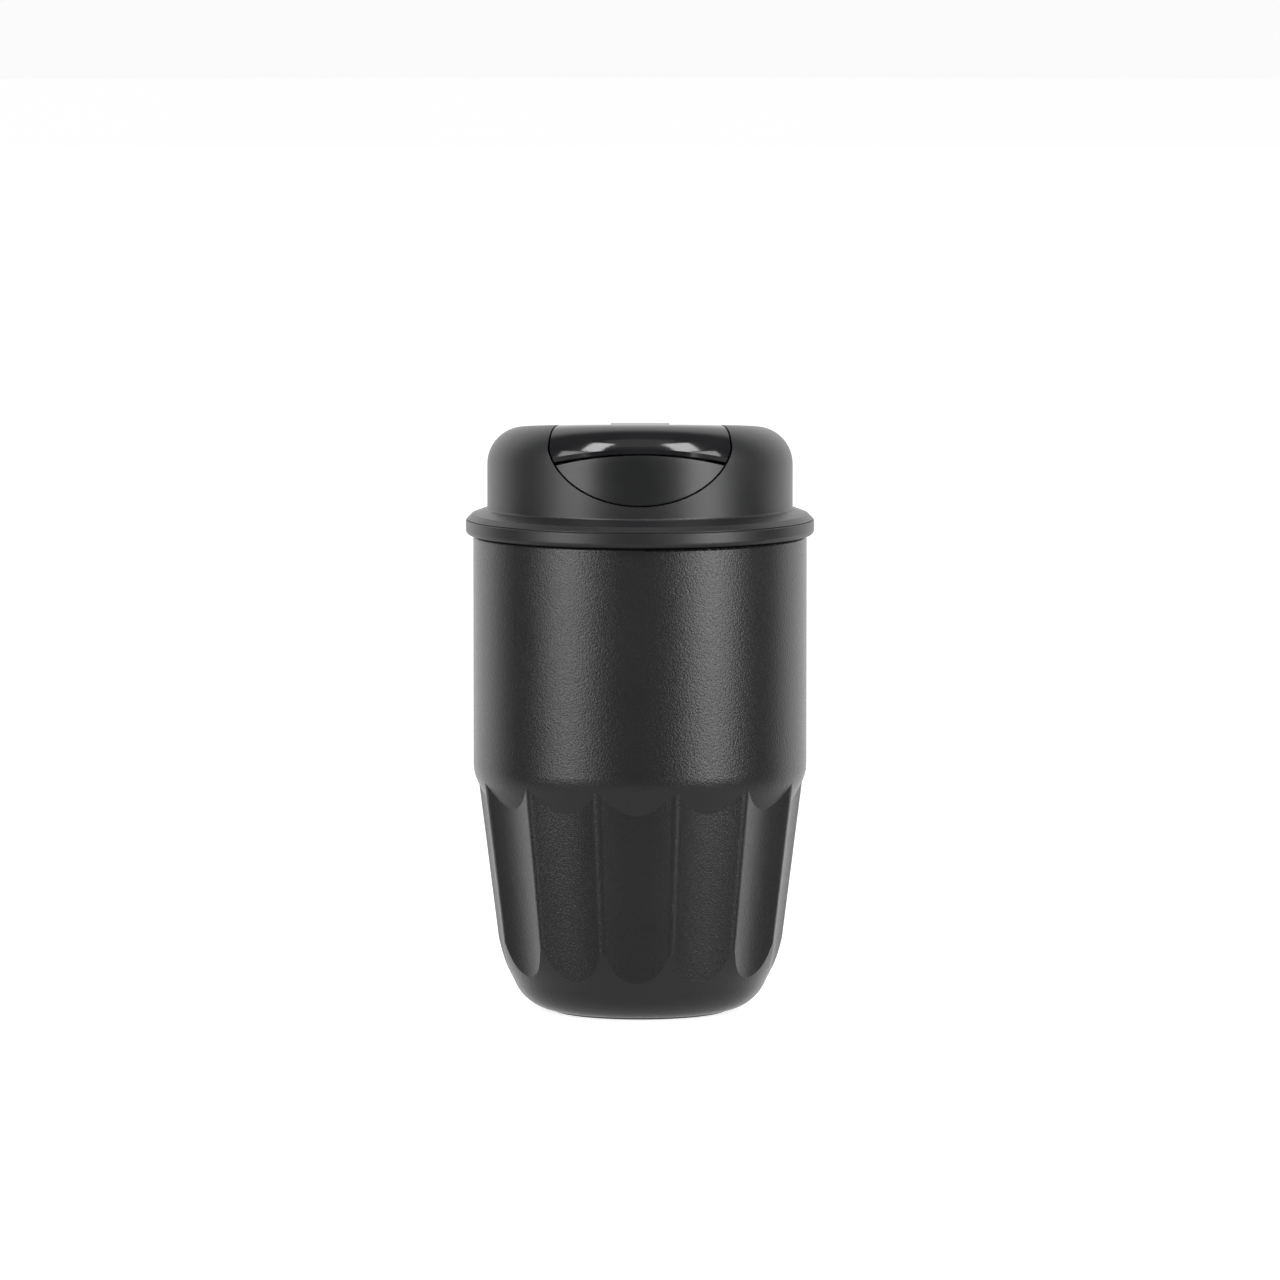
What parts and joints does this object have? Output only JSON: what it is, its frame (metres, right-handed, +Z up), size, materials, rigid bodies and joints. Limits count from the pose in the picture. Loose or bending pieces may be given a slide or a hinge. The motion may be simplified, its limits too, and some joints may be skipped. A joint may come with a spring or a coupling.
{
  "type": "insulated travel mug",
  "caption": "Double-wall steel travel mug with a fluted lower body, a screw-on domed lid and a one-touch flip cover over its drinking hole.",
  "frame": {"origin": "centre of the resting face under the mug", "axes": "+Z up along the mug's axis; the drinking side and the button face -Y; +X to the right seen from the front"},
  "size_m": [0.0878, 0.0878, 0.1503],
  "materials": {
    "powder_coat": "matte powder coat with fine orange-peel grain",
    "bare_steel": "satin",
    "foil": "bright foil",
    "bead": "dull solder",
    "getter": "pressed powder",
    "lid_matte": "matte black, fine texture",
    "lid_inner": "matte black",
    "lid_gloss": "polished black",
    "foam": "closed-cell foam",
    "silicone": "satin silicone",
    "hinge_steel": "drawn wire"
  },
  "bodies": {
    "mug": {"outer_shell": "powder_coat", "inner_liner": "bare_steel", "reflector_foil": "foil", "vacuum_plate": "bare_steel", "seal_bead": "bead", "getter_clip": "bare_steel", "getter_pill": "getter", "base_pad": "silicone"},
    "seal_ring": {"lid_gasket": "silicone"},
    "lid": {"lid_base": "lid_inner", "plug_floor": "lid_inner", "spout_tube": "lid_inner", "lid_dome": "lid_matte", "foam_puck": "foam", "spout_housing": "lid_inner", "hinge_pin": "hinge_steel", "hinge_spring": "hinge_steel", "button_springs": "hinge_steel"},
    "cover": {"flip_cover": "lid_matte", "cover_panel": "lid_gloss", "spout_stopper": "silicone"},
    "button": {"release_button": "lid_matte"}
  },
  "joints": [
    {"name": "lid_rise", "type": "slide", "parent": "mug", "child": "seal_ring", "axis": [0, 0, 1], "range_m": [0, 0.042]},
    {"name": "lid_turn", "type": "hinge", "parent": "seal_ring", "child": "lid", "pos_m": [0, 0, 0.1049], "axis": [0, 0, 1], "range_deg": [0, 1260]},
    {"name": "cover_flip", "type": "hinge", "parent": "lid", "child": "cover", "pos_m": [0, -0.006, 0.1461], "axis": [-1, 0, 0], "range_deg": [0, 110], "deforming": ["hinge_spring"]},
    {"name": "button_press", "type": "slide", "parent": "lid", "child": "button", "axis": [0, 1, 0], "range_m": [0, 0.0016], "stiffness_N_per_m": 400, "deforming": ["button_springs"]}
  ],
  "couplings": [
    {"joint": "lid_rise", "follows": "lid_turn", "m_per_rad": 0.0019099}
  ]
}
